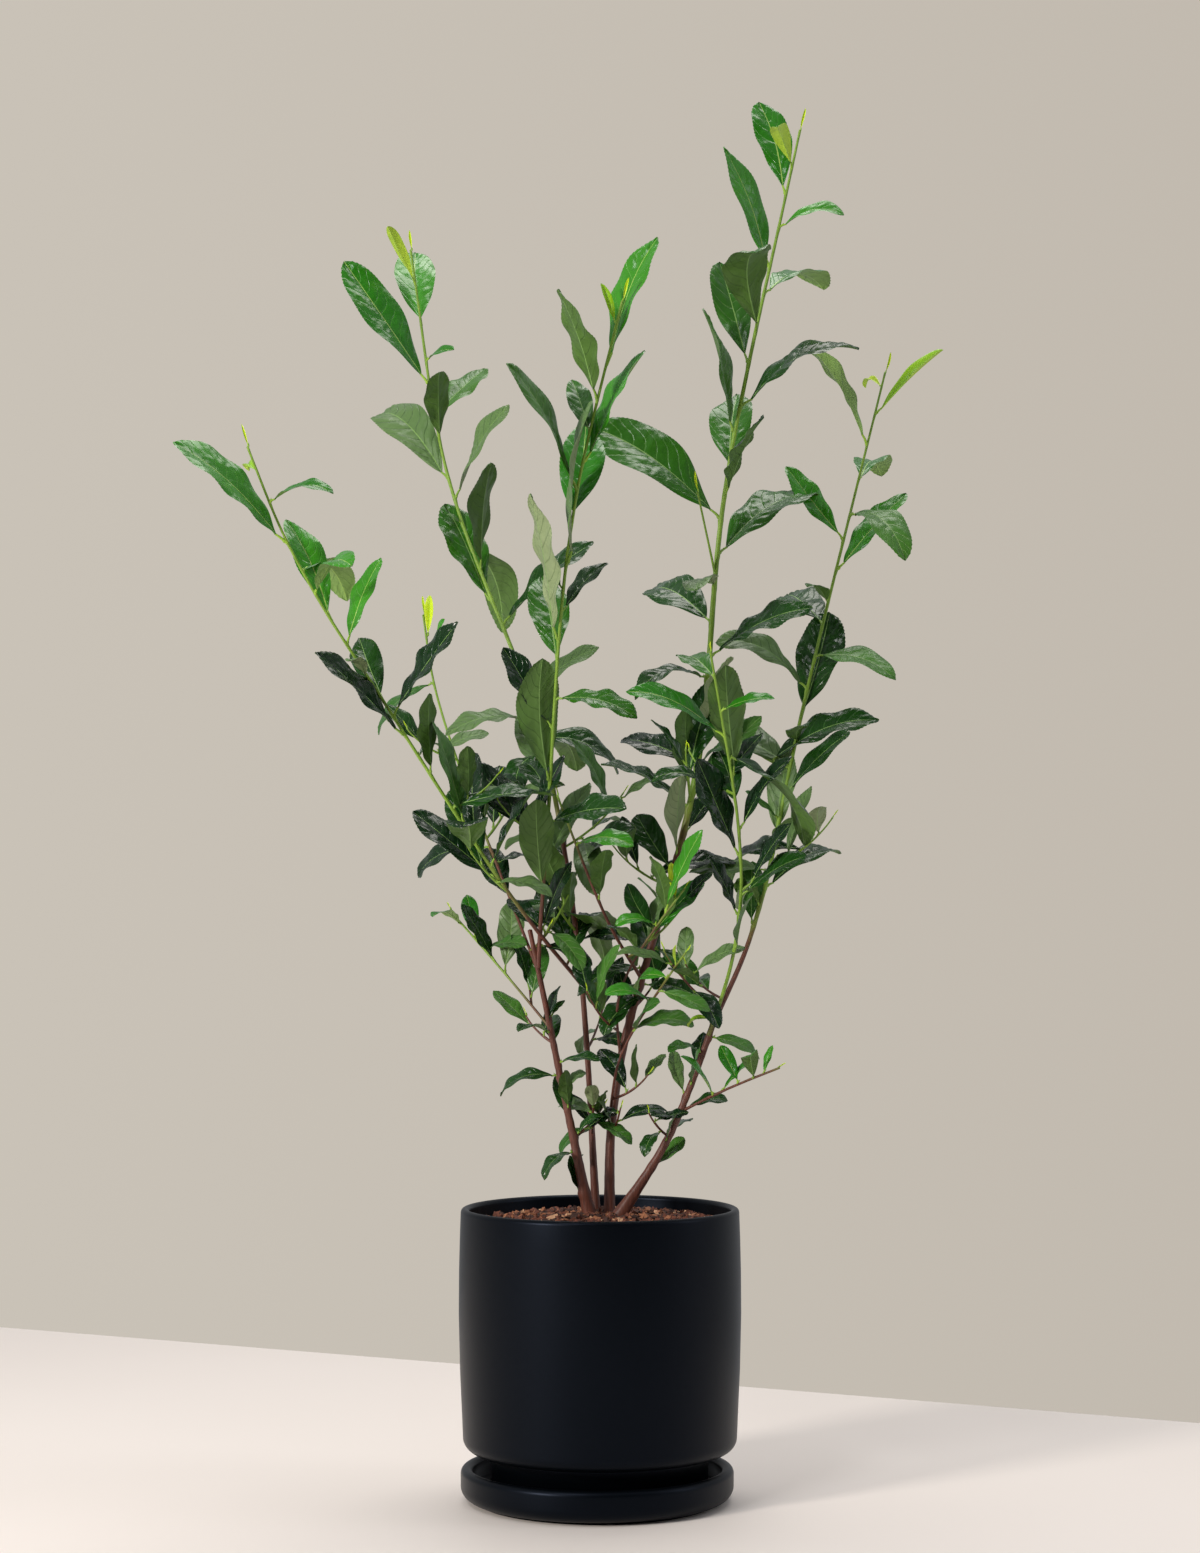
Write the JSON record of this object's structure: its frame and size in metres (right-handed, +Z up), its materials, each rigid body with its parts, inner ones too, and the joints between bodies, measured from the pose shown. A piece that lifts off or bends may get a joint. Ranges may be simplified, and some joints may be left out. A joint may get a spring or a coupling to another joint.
{
  "type": "potted tea bush",
  "caption": "Young tea bush with several slender stems and open sprays of glossy toothed leaves, in a round black pot with a saucer.",
  "frame": {"origin": "centre of the pot's axis, on the saucer's flat underside", "axes": "+Z up along the pot's axis; the plant's front faces -Y, +X is to its right as seen from the front"},
  "size_m": [0.5799, 0.3715, 1.04],
  "materials": {
    "pot": "matt black glaze",
    "saucer": "matt black glaze",
    "potting_mix": "chopped pine bark and moss, moist",
    "bark": "thin smooth reddish bark",
    "green_shoots": "green unripened bark",
    "old_leaves": "glossy leathery leaf",
    "young_leaves": "soft glossy young leaf"
  },
  "bodies": {
    "root": {"leaves_shoot_back_left_low": "old_leaves", "leaves_shoot_back_left_top": "young_leaves", "leaves_shoot_centre_low": "old_leaves", "leaves_shoot_centre_middle": "old_leaves", "leaves_shoot_centre_top": "young_leaves", "leaves_shoot_centre_upper": "old_leaves", "leaves_shoot_crossing_middle": "old_leaves", "leaves_shoot_far_left_lower": "old_leaves", "leaves_shoot_far_left_middle": "old_leaves", "leaves_shoot_far_left_top": "young_leaves", "leaves_shoot_far_left_upper": "old_leaves", "leaves_shoot_front_right_low": "old_leaves", "leaves_shoot_front_right_top": "young_leaves", "leaves_shoot_inner_middle": "old_leaves", "leaves_shoot_leaning_middle": "old_leaves", "leaves_shoot_low_left_middle": "old_leaves", "leaves_shoot_low_right_middle": "old_leaves", "leaves_shoot_right_low": "old_leaves", "leaves_shoot_right_middle": "old_leaves", "leaves_shoot_right_top": "young_leaves", "leaves_shoot_right_upper": "old_leaves", "leaves_stem_left_foot": "old_leaves", "leaves_stem_left_middle": "old_leaves", "leaves_stem_middle_low": "old_leaves", "leaves_stem_middle_lower": "old_leaves", "leaves_stem_middle_middle": "old_leaves", "leaves_stem_middle_top": "young_leaves", "leaves_stem_middle_upper": "old_leaves", "leaves_stem_right_foot": "old_leaves", "leaves_stem_right_middle": "old_leaves", "leaves_stem_tall_foot": "old_leaves", "leaves_stem_tall_low": "old_leaves", "leaves_stem_tall_lower": "old_leaves", "leaves_stem_tall_middle": "old_leaves", "leaves_stem_tall_top": "young_leaves", "leaves_stem_tall_upper": "old_leaves", "pot": "pot", "potting_mix": "potting_mix", "saucer": "saucer", "shoot_back_left": "bark", "shoot_centre": "green_shoots", "shoot_crossing": "bark", "shoot_far_left": "bark", "shoot_front_right": "green_shoots", "shoot_inner": "bark", "shoot_leaning": "bark", "shoot_low_left": "bark", "shoot_low_right": "bark", "shoot_right": "green_shoots", "shoot_small_side": "green_shoots", "stem_left": "bark", "stem_middle": "bark", "stem_right": "bark", "stem_tall": "bark"}
  },
  "joints": []
}
